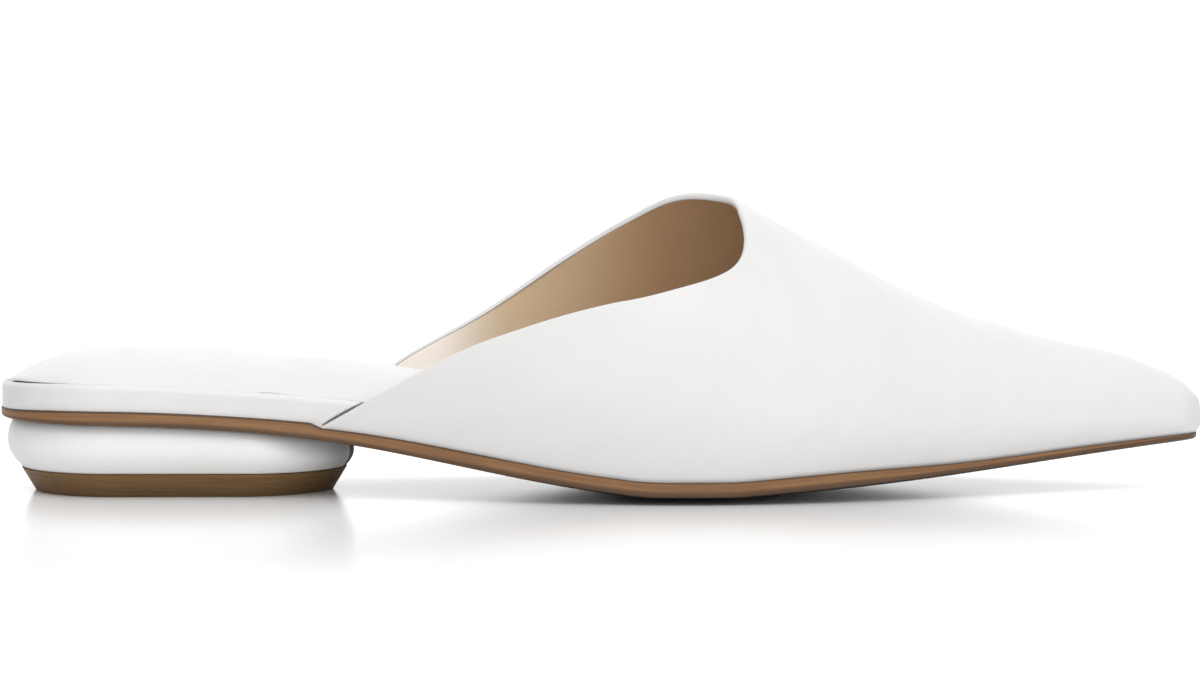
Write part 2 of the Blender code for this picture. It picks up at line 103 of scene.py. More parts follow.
# The part's tables, as shares of those sizes
Outline = namedtuple("Outline", "along width lateral medial")
WIDTHS = {"seat": SEAT_WIDTH, "waist": WAIST_WIDTH, "ball": BALL_WIDTH, "nose": 2 * NOSE_RADIUS}
OUTLINE = [
    Outline(0.00, "seat", 0.500, 0.500),
    Outline(0.10, "seat", 0.500, 0.500),
    Outline(0.20, "seat", 0.496, 0.485),
    Outline(0.30, "waist", 0.533, 0.464),
    Outline(0.40, "ball", 0.420, 0.354),
    Outline(0.50, "ball", 0.479, 0.438),
    Outline(0.57, "ball", 0.499, 0.486),
    Outline(0.63, "ball", 0.484, 0.508),
    Outline(0.70, "ball", 0.430, 0.475),
    Outline(0.78, "ball", 0.335, 0.371),
    Outline(0.86, "ball", 0.230, 0.253),
    Outline(0.93, "ball", 0.143, 0.160),
    Outline(1.00, "nose", 0.450, 0.450),
]
Sole = namedtuple("Sole", "along heel toe thick camber board crown")
SOLE = [
    Sole(0.00, 1.000, 0.000, 0.50, 0.00, 1.00, 0.85),
    Sole(0.05, 0.988, 0.000, 0.70, 0.00, 1.00, 0.85),
    Sole(0.10, 0.976, 0.000, 0.76, 0.00, 1.00, 0.89),
    Sole(0.20, 0.905, 0.000, 0.78, 0.00, 0.96, 0.98),
    Sole(0.30, 0.710, 0.000, 0.93, 0.15, 1.00, 1.00),
    Sole(0.40, 0.383, 0.000, 1.05, 0.50, 1.00, 1.00),
    Sole(0.50, 0.086, 0.000, 1.00, 0.90, 0.75, 0.62),
    Sole(0.53, 0.026, 0.000, 1.00, 0.98, 0.66, 0.53),
    Sole(0.555, 0.000, 0.000, 1.00, 1.00, 0.60, 0.47),
    Sole(0.58, -0.010, -0.010, 1.00, 1.00, 0.55, 0.42),
    Sole(0.61, 0.000, 0.012, 1.00, 1.00, 0.51, 0.37),
    Sole(0.65, 0.000, 0.072, 1.00, 0.98, 0.47, 0.33),
    Sole(0.70, 0.000, 0.163, 0.98, 0.95, 0.45, 0.30),
    Sole(0.80, 0.000, 0.410, 0.74, 0.70, 0.42, 0.24),
    Sole(0.90, 0.000, 0.710, 0.60, 0.50, 0.40, 0.18),
    Sole(1.00, 0.000, 1.000, 0.45, 0.30, 0.38, 0.15),
]
Section = namedtuple("Section", "along ridge power lean tuck")
LAST = [
    Section(0.25, 1.240, 2.00, 0.050, 0.70),
    Section(0.36, 1.257, 2.00, 0.050, 0.75),
    Section(0.45, 1.257, 2.00, 0.050, 0.90),
    Section(0.55, 1.166, 2.00, 0.050, 1.00),
    Section(0.62, 1.017, 2.00, 0.050, 1.00),
    Section(0.66, 0.902, 2.02, 0.050, 1.00),
    Section(0.70, 0.797, 2.05, 0.050, 1.00),
    Section(0.75, 0.659, 2.10, 0.046, 0.93),
    Section(0.80, 0.548, 2.15, 0.040, 0.85),
    Section(0.85, 0.460, 2.20, 0.031, 0.77),
    Section(0.90, 0.379, 2.25, 0.020, 0.70),
    Section(0.94, 0.318, 2.30, 0.012, 0.62),
    Section(0.97, 0.251, 2.35, 0.006, 0.56),
    Section(0.99, 0.191, 2.40, 0.002, 0.52),
    Section(1.00, 0.140, 2.40, 0.000, 0.50),
]
Topline = namedtuple("Topline", "side along up")
TOPLINE = [
    Topline("lateral", 0.2720, 0.000),
    Topline("lateral", 0.3000, 0.070),
    Topline("lateral", 0.3240, 0.134),
    Topline("lateral", 0.3577, 0.222),
    Topline("lateral", 0.4004, 0.325),
    Topline("lateral", 0.4340, 0.393),
    Topline("lateral", 0.4673, 0.458),
    Topline("lateral", 0.5003, 0.519),
    Topline("lateral", 0.5333, 0.578),
    Topline("lateral", 0.5662, 0.640),
    Topline("lateral", 0.5840, 0.680),
    Topline("lateral", 0.6018, 0.735),
    Topline("lateral", 0.6096, 0.768),
    Topline("lateral", 0.6151, 0.801),
    Topline("lateral", 0.6189, 0.838),
    Topline("lateral", 0.6209, 0.882),
    Topline("lateral", 0.6209, 0.919),
    Topline("lateral", 0.6199, 0.951),
    Topline("lateral", 0.6180, 0.985),
    Topline("medial", 0.6150, 1.000),
    Topline("medial", 0.6095, 0.992),
    Topline("medial", 0.6010, 0.974),
    Topline("medial", 0.5872, 0.948),
    Topline("medial", 0.5772, 0.926),
    Topline("medial", 0.5649, 0.894),
    Topline("medial", 0.5527, 0.857),
    Topline("medial", 0.5274, 0.769),
    Topline("medial", 0.4938, 0.652),
    Topline("medial", 0.4599, 0.539),
    Topline("medial", 0.4256, 0.426),
    Topline("medial", 0.3952, 0.335),
    Topline("medial", 0.3606, 0.243),
    Topline("medial", 0.3393, 0.186),
    Topline("medial", 0.3240, 0.140),
    Topline("medial", 0.3000, 0.000),
]
Heel = namedtuple("Heel", "up inset")
HEEL = [
    Heel(0.00, 1.00),
    Heel(0.12, 0.60),
    Heel(0.30, 0.18),
    Heel(0.52, 0.00),
    Heel(0.74, 0.08),
    Heel(0.90, 0.28),
    Heel(1.00, 0.50),
]
SIDES = {"lateral": -1.0, "medial": 1.0}

# Fine sizes that only the looks need: metres, turns in degrees, shares and powers
TOUCH = 0.00005
RIM_REACH = 0.0008
RIM_REACH_OF_SOLID = 0.0004
RIM_LOW_TURN = 60.0
RIM_FADE_ROWS = 6.0
INNER_RIM_MORE = 0.0013
INNER_RIM_TURN = 92
INNER_RIM_RISE = 14
INNER_RIM_FALL = 12
TURN_IN = 0.0002
GROOVE_DEPTH = 0.0008
GROOVE_WIDTH = 0.0002
HEM_ROWS = (1.0, 0.66, 0.33)
HEM_DEPTH_SHARE = 0.3
HEM_WIDTH_SHARE = 0.2
LINING_ROUND = 0.0003
SOLE_TOP_ROUND = 0.0002
SOLE_FOOT_ROUND = 0.0007
BAND_FOOT_ROUND = 0.0001
BAND_NEAR = 0.0014
BAND_NEAR_RUN = 0.006
BAND_REAR_OUT = 0.0006
BAND_REAR_RUN = 0.014
BAND_MARGIN = 0.00035
BAND_MARGIN_MORE = 0.0004
BAND_MARGIN_POWER = 0.6
BAND_TUCK = 0.0004
BAND_SHELF = 0.0007
SHEET_SUNK = 0.0005
SHEET_SUNK_POWER = 8
SHEET_LOW_ROUND = 0.3
SHEET_HIGH_ROUND = 0.1
SHEET_STEP_RUN = 0.014
SHEET_DROP = 0.00118
SHEET_DROP_OPEN = 0.0007
SHEET_DROP_RUN = 0.0022
SLIT_RUN_IN = 0.0050
SEAM_TURN = 72.5
# SEAM_LIGHT is the width in degrees of the painted highlight beside the outer seam
SEAM_LIGHT = 1.2
SEAM_STEP = 0.00025
SEAM_RUN = 1.0
HEEL_EDGE_ROUND = 0.00015
HEEL_EDGE_EASED = 0.3
LIFT_EDGE_ROUND = 0.0002

# Mesh density
NOSE_STEPS = 18
LENGTH_STEPS = 170
END_STEPS = 20
ROUND_STEPS = 240
UPPER_STEPS = 120
LINING_STEPS = 84
ROW_GRADING = 1.6
RIM_SAMPLES = 1801
ROLL_STEPS = 10
ACROSS_STEPS = 44
UPPER_BEGINS = (0.262, 0.330)
BEGIN_STEPS = 64
HEEL_LEVELS = 40
LIFT_LEVELS = 8
FOLD_STEPS = 4
SHARP_ANGLE = 50


def spline(knots, values):
    """A natural cubic curve through a short table, as a function of position."""
    knots = np.asarray(knots, float)
    values = np.asarray(values, float)
    gap = np.diff(knots)
    slope = np.diff(values) / gap
    count = len(knots)
    system = np.eye(count)
    pull = np.zeros(count)
    for k in range(1, count - 1):
        system[k, k - 1:k + 2] = gap[k - 1], 2 * (gap[k - 1] + gap[k]), gap[k]
        pull[k] = 6 * (slope[k] - slope[k - 1])
    bend = np.linalg.solve(system, pull)

    def curve(at):
        at = np.clip(at, knots[0], knots[-1])
        k = np.clip(np.searchsorted(knots, at, side="right") - 1, 0, count - 2)
        done = at - knots[k]
        left = knots[k + 1] - at
        return ((bend[k] * left ** 3 + bend[k + 1] * done ** 3) / (6 * gap[k])
                + (values[k] / gap[k] - bend[k] * gap[k] / 6) * left
                + (values[k + 1] / gap[k] - bend[k + 1] * gap[k] / 6) * done)

    return curve


def column(table, name, size=1.0):
    """One column of a table, scaled by a size, as a curve along the shoe in metres."""
    knots = [row.along * SHOE_LENGTH for row in table]
    return spline(knots, [getattr(row, name) * size for row in table])


def half_width_column(side):
    """The sole's half width on one side, before its ends are rounded off."""
    knots = [row.along * SHOE_LENGTH for row in OUTLINE]
    return spline(knots, [getattr(row, side) * WIDTHS[row.width] for row in OUTLINE])


HALF_WIDTH = {side: half_width_column(side) for side in SIDES}
HEEL_RISE = column(SOLE, "heel", HEEL_HEIGHT)
TOE_RISE = column(SOLE, "toe", TOE_SPRING)
THICKNESS = column(SOLE, "thick", OUTSOLE_THICKNESS)
CAMBER = column(SOLE, "camber", SOLE_CAMBER)
BOARD = column(SOLE, "board", INSOLE_THICKNESS)
CROWN = column(SOLE, "crown", SOCK_CROWN)
RIDGE = column(LAST, "ridge", INSTEP_HEIGHT)
POWER = column(LAST, "power")
LEAN = column(LAST, "lean", BALL_WIDTH)
TUCKED = column(LAST, "tuck", TUCK)
HEEL_PROFILE = spline([row.up for row in HEEL], [row.inset for row in HEEL])
FOOT_START = {side: min(row.along for row in TOPLINE if row.side == side) * SHOE_LENGTH
              for side in SIDES}


def smoothstep(value):
    value = np.clip(value, 0.0, 1.0)
    return value * value * (3 - 2 * value)


def axis(x):
    """The line from the back of the heel to the tip, which the widths are laid off from."""
    return TOE_SET * (x / SHOE_LENGTH) ** 2


def end_rounding(x):
    """The factor that rounds the heel and the nose, which is 1 between them."""
    heel = np.clip((HEEL_ROUND - x) / HEEL_ROUND, 0.0, 1.0)
    nose = np.clip((x - SHOE_LENGTH + NOSE_LENGTH) / NOSE_LENGTH, 0.0, 1.0)
    return np.sqrt(1 - heel ** 2) * np.sqrt(1 - nose ** 2)


def half_width(x, side):
    return HALF_WIDTH[side](x) * end_rounding(x)


def outward(x, side):
    """The sole outline's outward direction in plan, at a place along the shoe."""
    step = 1e-6
    near = np.clip(x, 2 * step, SHOE_LENGTH - 2 * step)
    climb = (half_width(near + step, side) - half_width(near - step, side)) / (2 * step)
    climb = np.where(x < step, 1e6, np.where(x > SHOE_LENGTH - step, -1e6, climb))
    length = np.sqrt(1 + climb ** 2)
    return -climb / length, SIDES[side] / length


def outline(x, side, inset=0.0):
    """A point of the sole's outline, moved in from the edge by an inset."""
    away_x, away_y = outward(x, side)
    y = axis(x) + SIDES[side] * half_width(x, side)
    return x - inset * away_x, y - inset * away_y


def camber(x, y):
    """How far the sole curls up toward its edges across the ball and the toe."""
    outer = half_width(x, "lateral")
    inner = half_width(x, "medial")
    middle = axis(x) + (inner - outer) / 2
    share = np.abs(y - middle) / np.maximum((inner + outer) / 2, MERGE)
    curl = np.clip((share - CAMBER_START) / (1 - CAMBER_START), 0.0, 1.0)
    return CAMBER(x) * curl ** 2


def tread_line(x):
    """The underside along the middle, which runs into the flat of the ball without a kink."""
    rise = np.maximum(HEEL_RISE(x) + TOE_RISE(x), 0.0)
    near = np.clip(rise / TREAD_BLEND, 0.0, 1.0)
    return rise * near * (2 - near)


def sole_bottom(x, y):
    return tread_line(x) + camber(x, y)


def sole_top(x, y):
    """The outsole's top, lower by the rebate from where the upper's foot begins."""
    start = FOOT_START["lateral"] - REBATE_RUN
    lowered = UPPER_REBATE * smoothstep((x - start) / REBATE_RUN)
    return sole_bottom(x, y) + THICKNESS(x) - lowered


def insole_top(x, y):
    """The board's top, which takes no part in the rebate."""
    return sole_bottom(x, y) + THICKNESS(x) + GAP + BOARD(x)


def stations():
    """Places along the shoe: close together round both ends and where the upper begins."""
    turn = np.linspace(0, math.pi / 2, END_STEPS + 1)
    heel = HEEL_ROUND * (1 - np.cos(turn))
    nose = SHOE_LENGTH - NOSE_LENGTH * (1 - np.cos(turn))[::-1]
    middle = np.linspace(heel[-1], nose[0], LENGTH_STEPS + 1)[1:-1]
    begin = SHOE_LENGTH * np.linspace(*UPPER_BEGINS, BEGIN_STEPS + 1)
    middle = middle[(middle < begin[0] - MERGE) | (middle > begin[-1] + MERGE)]
    return np.sort(np.concatenate([heel, middle, begin, nose]))


def section_point(x, turn):
    """A point of the upper's outer surface.

    The turn runs from 0 at the outer foot, over 90 at the top line, to 180 at the
    inner foot, in degrees. Each half is a quarter of a superellipse, tucked in low down.
    """
    x, turn = np.broadcast_arrays(np.asarray(x, float), np.asarray(turn, float))
    sweep = np.radians(np.where(turn > 90, 180 - turn, turn))
    power = 2 / POWER(x)
    reach = np.clip(np.cos(sweep), 0.0, 1.0) ** power
    rise = np.clip(np.sin(sweep), 0.0, 1.0) ** power
    top_y = axis(x) + LEAN(x) * end_rounding(x)
    top_z = sole_top(x, axis(x)) + RIDGE(x)
    points = {}
    for side in SIDES:
        outset = TUCKED(x) - FOOT_INSET
        foot_x, foot_y = outline(x, side, -outset)
        seat_x, seat_y = outline(x, side, FOOT_INSET)
        foot_z = sole_top(seat_x, seat_y) + TOUCH
        height = top_z - foot_z
        up = rise * height
        tuck = TUCKED(x) * np.clip(1 - up / (TUCK_SHARE * height), 0.0, 1.0) ** 2
        away_x, away_y = outward(x, side)
        points[side] = (x + (foot_x - x) * reach - tuck * away_x,
                        top_y + (foot_y - top_y) * reach - tuck * away_y,
                        foot_z + up)
    outer = np.stack(points["lateral"], axis=-1)
    inner = np.stack(points["medial"], axis=-1)
    return np.where((turn > 90)[..., None], inner, outer)


def topline():
    """Place along the shoe of the topline, as a curve over the turn, and its end turns."""
    turns = []
    places = []
    for row in TOPLINE:
        place = row.along * SHOE_LENGTH
        sweep = math.degrees(math.asin(row.up ** (POWER(place) / 2)))
        turns.append(sweep if row.side == "lateral" else 180 - sweep)
        places.append(place)
    return spline(turns, places)


def rim_columns():
    """Turns of the columns, even along the topline at its end and even by turn at the nose."""
    cut = topline()
    fine = np.linspace(0, 180, RIM_SAMPLES)
    rim = section_point(cut(fine), fine)
    run = np.concatenate([[0], np.cumsum(np.linalg.norm(np.diff(rim, axis=0), axis=1))])
    share = np.linspace(0, 1, ROUND_STEPS + 1)
    turn = np.interp(share * run[-1], run, fine)
    return turn, cut(turn)


RIM_TURN, RIM_X = rim_columns()
TOE_TURN = np.linspace(0, 180, ROUND_STEPS + 1)


def rim_heights():
    """Heights of the topline over the sole, as a curve along the shoe for each side."""
    rim = section_point(RIM_X, RIM_TURN)
    height = rim[:, 2] - sole_top(rim[:, 0], rim[:, 1])
    curves = {}
    for side, turn in (("lateral", RIM_TURN), ("medial", 180 - RIM_TURN)):
        low = np.nonzero(turn < RIM_LOW_TURN)[0]
        order = low[np.argsort(rim[low, 0])]
        curves[side] = (rim[order, 0], height[order])
    return curves


RIM_HEIGHT = rim_heights()


def board_height(x):
    """How far the board's top stands over the outsole's."""
    return insole_top(x, axis(x)) - sole_top(x, axis(x))


def rear_out(x):
    """How much nearer the band stands to the sole's edge at the back of the heel."""
    return BAND_REAR_OUT * smoothstep(1 - x / BAND_REAR_RUN)


def band_inset(x, side, height):
    """The band stands near the sole's edge, and steps in below the upper's topline."""
    rim = np.interp(x, *RIM_HEIGHT[side], left=-1.0)
    climbed = np.clip(rim / board_height(x), 0.0, 1.0)
    margin = BAND_MARGIN + BAND_MARGIN_MORE * np.sin(math.pi * climbed ** BAND_MARGIN_POWER)
    under = smoothstep((rim + margin + BAND_TUCK - height) / BAND_TUCK)
    near = smoothstep((x - FOOT_START[side] + BAND_NEAR_RUN) / BAND_NEAR_RUN)
    free = BAND_INSET - rear_out(x) + (BAND_NEAR - BAND_INSET) * near
    return free + (UNDER_UPPER - free) * under


def skin(along):
    """The upper's outer surface over rows of shares from the topline to the nose's start."""
    along = np.broadcast_to(along, np.broadcast_shapes(np.shape(along), RIM_X.shape))
    x = RIM_X + (SHOE_LENGTH - NOSE_LENGTH - RIM_X) * along
    return section_point(x, RIM_TURN + (TOE_TURN - RIM_TURN) * smoothstep(along))


def nose_rows():
    """The outer surface round the nose, which closes on the seam at the tip."""
    turn = np.linspace(0, math.pi / 2, NOSE_STEPS + 1)[1:, None]
    x = SHOE_LENGTH - NOSE_LENGTH + NOSE_LENGTH * np.sin(turn)
    return section_point(x, np.broadcast_to(TOE_TURN, (NOSE_STEPS, ROUND_STEPS + 1)))


def surface_normals(grid):
    """Outward normals of the grid, from the faces round each point; the nose row is a seam."""
    first, second = grid[:-1, :-1], grid[:-1, 1:]
    third, fourth = grid[1:, 1:], grid[1:, :-1]
    face = np.cross(third - first, second - fourth)
    normal = np.zeros_like(grid)
    normal[:-1, :-1] += face
    normal[:-1, 1:] += face
    normal[1:, 1:] += face
    normal[1:, :-1] += face
    normal[-1] += normal[-1][::-1].copy()
    return normal / np.maximum(np.linalg.norm(normal, axis=-1, keepdims=True), 1e-15)


# Soft troughs and ridges of the leather, in the shoe's own sizes: the place along the
# shoe and the turn of the middle, half lengths along both, a slant and the depth
Crease = namedtuple("Crease", "along turn half_along half_turn slant depth")
CREASES = [
    Crease(0.628, 88, 0.020, 10, 0.0000, 0.00022),
    Crease(0.668, 62, 0.020, 16, -0.0006, 0.00022),
    Crease(0.640, 38, 0.030, 9, -0.0010, 0.00012),
    Crease(0.520, 20, 0.060, 7, 0.0000, 0.00014),
    Crease(0.740, 96, 0.016, 30, 0.0002, 0.00012),
    Crease(0.775, 88, 0.014, 26, -0.0003, -0.00010),
    Crease(0.500, 156, 0.060, 8, 0.0000, 0.00014),
    Crease(0.840, 30, 0.050, 9, 0.0006, 0.00010),
]
CREASE_HOLD = 8
WAVE_DEPTH = 0.00005
WAVE_LENGTHS = (0.047, 0.031, 0.023)


def creased(grid, normal, turn):
    """Lets the creases and a slight unevenness into a skin, and keeps its feet in place."""
    along = grid[..., 0] / SHOE_LENGTH
    sink = np.zeros(grid.shape[:2])
    for crease in CREASES:
        off_turn = turn - crease.turn
        off_along = along - crease.along - crease.slant * off_turn
        sink += crease.depth * np.exp(-(off_along / crease.half_along) ** 2
                                      - (off_turn / crease.half_turn) ** 2)
    for k, length in enumerate(WAVE_LENGTHS):
        phase = 2 * math.pi * (grid[..., 0] + (1 + k) * grid[..., 1] - k * grid[..., 2]) / length
        sink += WAVE_DEPTH * np.sin(phase)
    hold = smoothstep(np.minimum(turn, 180 - turn) / CREASE_HOLD)
    return grid - (sink * hold)[..., None] * normal


def clear_of_sole(grid):
    """Keeps a skin's points above the outsole."""
    floor = sole_top(grid[..., 0], grid[..., 1]) + TOUCH
    grid[..., 2] = np.maximum(grid[..., 2], floor)
    return grid


def flow_of(grid):
    """Distances along both ways of a grid, in metres, for finishes that follow the piece."""
    down = np.linalg.norm(np.diff(grid, axis=0), axis=-1).mean(axis=1)
    across = np.linalg.norm(np.diff(grid, axis=1), axis=-1)
    run_down = np.concatenate([[0], np.cumsum(down)])
    run_across = np.concatenate([np.zeros((len(grid), 1)), np.cumsum(across, axis=1)], axis=1)
    flow = np.zeros(grid.shape)
    flow[..., 0] = run_down[:, None]
    flow[..., 1] = run_across
    return flow


def grid_piece(name, grid, finish, wrap=False, caps=(), marks=None, replaces=None):
    """A smooth piece over a grid of points in the shoe's own frame, welded where they meet.

    With wrap the last column joins the first. A cap closes an end row as a ladder of
    faces. Marks are named shares for each point, which its finish reads.
    """
    rows, columns = grid.shape[:2]
    index = np.arange(rows * columns).reshape(rows, columns)
    if wrap:
        index = np.concatenate([index, index[:, :1]], axis=1)
    faces = np.stack([index[:-1, :-1], index[:-1, 1:], index[1:, 1:], index[1:, :-1]], axis=-1)
    faces = faces.reshape(-1, 4).tolist()
    for row in caps:
        ring = index[row, :columns]
        for k in range(columns // 2 - 1):
            faces.append([ring[k], ring[k + 1], ring[columns - 2 - k], ring[columns - 1 - k]])
    points = grid.reshape(-1, 3) + np.array([HEEL_BACK, 0.0, 0.0])
    data = bpy.data.meshes.new(name)
    data.from_pydata(points.tolist(), [], faces)
    flow = data.attributes.new("flow", "FLOAT_VECTOR", "POINT")
    flow.data.foreach_set("vector", flow_of(grid).astype(np.float32).ravel())
    for mark, shares in (marks or {}).items():
        layer = data.attributes.new(mark, "FLOAT", "POINT")
        layer.data.foreach_set("value", np.asarray(shares, np.float32).ravel())
    mesh = bmesh.new()
    mesh.from_mesh(data)
    bmesh.ops.remove_doubles(mesh, verts=mesh.verts, dist=MERGE)
    bmesh.ops.recalc_face_normals(mesh, faces=mesh.faces)
    if mesh.calc_volume(signed=True) < 0:
        bmesh.ops.reverse_faces(mesh, faces=mesh.faces)
    mesh.to_mesh(data)
    mesh.free()
    data.shade_smooth()
    data.set_sharp_from_angle(angle=math.radians(SHARP_ANGLE))
    data.materials.append(finish)
    piece = bpy.data.objects.new(name, data)
    bpy.context.scene.collection.objects.link(piece)
    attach(piece, BODY)
    if replaces:
        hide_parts(replaces)
    return piece


# Edges of flat pieces
Edge = namedtuple("Edge", "ease mix offset")


def rounded_edge(low_round, high_round, arc_steps, face_steps):
    """Rows from the underside round the edge to the top.

    Each has how far it lies in from the edge, its share of the way from the underside
    to the top, and an offset from there.
    """
    rows = []
    for turn in np.linspace(-math.pi / 2, 0, arc_steps + 1):
        rows.append(Edge(low_round * (1 - math.cos(turn)), 0.0, low_round * (1 + math.sin(turn))))
    for mix in np.linspace(0, 1, face_steps + 1)[1:-1]:
        rows.append(Edge(0.0, mix, low_round * (1 - mix) - high_round * mix))
    for turn in np.linspace(0, math.pi / 2, arc_steps + 1):
        rows.append(Edge(high_round * (1 - math.cos(turn)), 1.0,
                         -high_round * (1 - math.sin(turn))))
    return rows


def slab(x, inset, rows, bottom, top):
    """Rings round a flat piece at places along the shoe: underside, inner edge, top, outer edge.

    The inset is a function of a side and a row of the edge. Bottom and top give heights
    from a point and its share across. The second result holds each ring point's share
    of the way up the edge.
    """
    across = np.sin(np.linspace(-math.pi / 2, math.pi / 2, ACROSS_STEPS + 1))
    ring = []
    up = []

    def place(share, row):
        left_x, left_y = outline(x, "lateral", inset("lateral", row) + row.ease)
        right_x, right_y = outline(x, "medial", inset("medial", row) + row.ease)
        part = (share + 1) / 2
        px = left_x + (right_x - left_x) * part
        py = left_y + (right_y - left_y) * part
        height = (bottom(px, py, share) * (1 - row.mix) + top(px, py, share) * row.mix
                  + row.offset)
        ring.append(np.stack([px, py, height], axis=-1))
        up.append(np.full(len(x), row.mix))

    for share in across:
        place(share, rows[0])
    for row in rows[1:-1]:
        place(1.0, row)
    for share in across[::-1]:
        place(share, rows[-1])
    for row in rows[-2:0:-1]:
        place(-1.0, row)
    return np.stack(ring, axis=1), np.stack(up, axis=1)


# Slits between the footbed's top sheet and its band: side, both ends and the opening
Slit = namedtuple("Slit", "side start end opening")
SLIT_FULL = 0.00015
SLITS = [
    Slit("lateral", 0.012, 0.125, 0.00013),
    Slit("lateral", 0.222, 0.272, 0.00006),
    Slit("medial", 0.060, 0.130, 0.00015),
]

# A slit opens steeply at its rear end and tapers off toward its front end
SLIT_GAIN = 2.2
SLIT_BEGIN = 0.2
SLIT_TAPER = 3.0


def slit_opening(x, side):
    """How far the top sheet stands off the band: most near a slit's rear end."""
    opening = np.zeros_like(x)
    for slit in SLITS:
        if slit.side == side:
            share = np.clip((x / SHOE_LENGTH - slit.start) / (slit.end - slit.start), 0.0, 1.0)
            form = SLIT_GAIN * share ** SLIT_BEGIN * (1 - share) ** SLIT_TAPER
            opening += slit.opening * form
    return opening


def sheet_lift(x, share):
    """The opening of the slits, fading from the sheet's edge toward its middle."""
    side = "medial" if share > 0 else "lateral"
    fade = smoothstep((abs(share) * HEEL_ROUND - HEEL_ROUND + SLIT_RUN_IN) / SLIT_RUN_IN)
    return slit_opening(x, side) * fade


def sheet_open(x, share):
    """How far the nearest slit is open, from 0 where the sheet is sewn down to 1."""
    side = "medial" if share > 0 else "lateral"
    return np.clip(slit_opening(x, side) / SLIT_FULL, 0.0, 1.0)


def sheet_bottom(x, y, share):
    """The sheet's underside, which lies in the band's shelf where no slit opens."""
    settled = SHEET_SUNK * (1 - sheet_open(x, share)) * abs(share) ** SHEET_SUNK_POWER
    return insole_top(x, y) + sheet_lift(x, share) - settled


def sheet_top(x, y, share):
    """The pad's pillow: steep at its rear edge, full under the heel, thin toward the toe."""
    edge = BAND_INSET + SOCK_INSET
    start = edge + SOCK_SET
    rear = 1 - np.clip((start + SOCK_RISE - x) / SOCK_RISE, 0.0, 1.0) ** 2
    pillow = 1 - abs(share) ** SOCK_POWER
    from_side = (1 - abs(share)) * HEEL_ROUND
    from_rear = np.maximum(x - edge, 0.0)
    depth = SHEET_DROP + (SHEET_DROP_OPEN - SHEET_DROP) * sheet_open(x, share)
    drop = depth * np.exp(-np.minimum(from_side, from_rear) / SHEET_DROP_RUN)
    return (insole_top(x, y) + GAP + SOCK_EDGE + CROWN(x) * pillow * rear
            - drop + sheet_lift(x, share))


def make_outsole(finish):
    """The outsole, with its eased edges and the shares that its finish reads, for its streaks and
    for the painted shade at its top, its foot and its underside.
    """
    rows = rounded_edge(SOLE_FOOT_ROUND, SOLE_TOP_ROUND, arc_steps=5, face_steps=6)
    grid, up = slab(stations(), lambda side, row: 0.0, rows,
                    lambda x, y, share: sole_bottom(x, y),
                    lambda x, y, share: sole_top(x, y))
    under = np.zeros(up.shape)
    under[:, :ACROSS_STEPS + 1] = 1.0
    return grid_piece("sole", grid, finish, wrap=True, marks={"up": up, "under": under},
                      replaces="outsole")


def make_band(finish):
    """The footbed's board in its wrapped band, full and round along the top edge."""
    rows = rounded_edge(BAND_FOOT_ROUND, BAND_ROUND, arc_steps=10, face_steps=24)
    lip = SOCK_INSET - TOUCH / 2
    rows = [row for row in rows if row.mix < 1.0 or row.ease < lip - TOUCH]
    fallen = BAND_ROUND - math.sqrt(BAND_ROUND ** 2 - (BAND_ROUND - lip) ** 2)
    rows += [Edge(lip, 1.0, -fallen), Edge(SOCK_INSET, 1.0, -BAND_SHELF)]
    x = stations()
    board = board_height(x)

    def inset(side, row):
        return band_inset(x, side, TOUCH * (1 - row.mix) + board * row.mix + row.offset)

    grid = slab(x, inset, rows, lambda x, y, share: sole_top(x, y) + TOUCH,
                lambda x, y, share: insole_top(x, y))[0]
    return grid_piece("footbed_band", grid, finish, wrap=True,
                      replaces="insole")


def sheet_inset(x, side):
    """The sheet keeps its distance from the band's edge, and narrows early for the upper."""
    rim_x, rim = RIM_HEIGHT[side]
    covered_x = np.interp(0.0, rim - board_height(rim_x), rim_x)
    covered = smoothstep((x - covered_x + SHEET_STEP_RUN) / SHEET_STEP_RUN)
    stepped = BAND_INSET - rear_out(x) + (UNDER_UPPER - BAND_INSET) * covered
    return SOCK_INSET + np.maximum(stepped, band_inset(x, side, board_height(x)))


def make_top_sheet(finish):
    """The padded top sheet, which dips to the band and gapes at the slits."""
    rows = rounded_edge(SHEET_LOW_ROUND * SOCK_EDGE, SHEET_HIGH_ROUND * SOCK_EDGE,
                        arc_steps=4, face_steps=3)
    x = stations()
    insets = {side: sheet_inset(x, side) for side in SIDES}
    grid = slab(x, lambda side, row: insets[side], rows, sheet_bottom, sheet_top)[0]
    piece = grid_piece("footbed_pad", grid, finish, wrap=True,
                       replaces="sock_liner")
    return piece


def inner_rim():
    """For each column, how much it belongs to the inner side's rim, which stands higher."""
    begun = smoothstep((RIM_TURN - INNER_RIM_TURN) / INNER_RIM_RISE)
    return begun * smoothstep((180 - RIM_TURN) / INNER_RIM_FALL)


def rim_frame(outer, normal):
    """Directions out of the topline and out of the skin, for what is laid round the rim."""
    back = outer[0] - outer[2]
    back /= np.linalg.norm(back, axis=-1, keepdims=True)
    away = normal[0] - (normal[0] * back).sum(-1, keepdims=True) * back
    away /= np.linalg.norm(away, axis=-1, keepdims=True)
    return back, away


def rim_fade(rows):
    """How much of a shift at the rim each row below it still takes."""
    return np.exp(-np.arange(rows) / RIM_FADE_ROWS)[:, None, None]


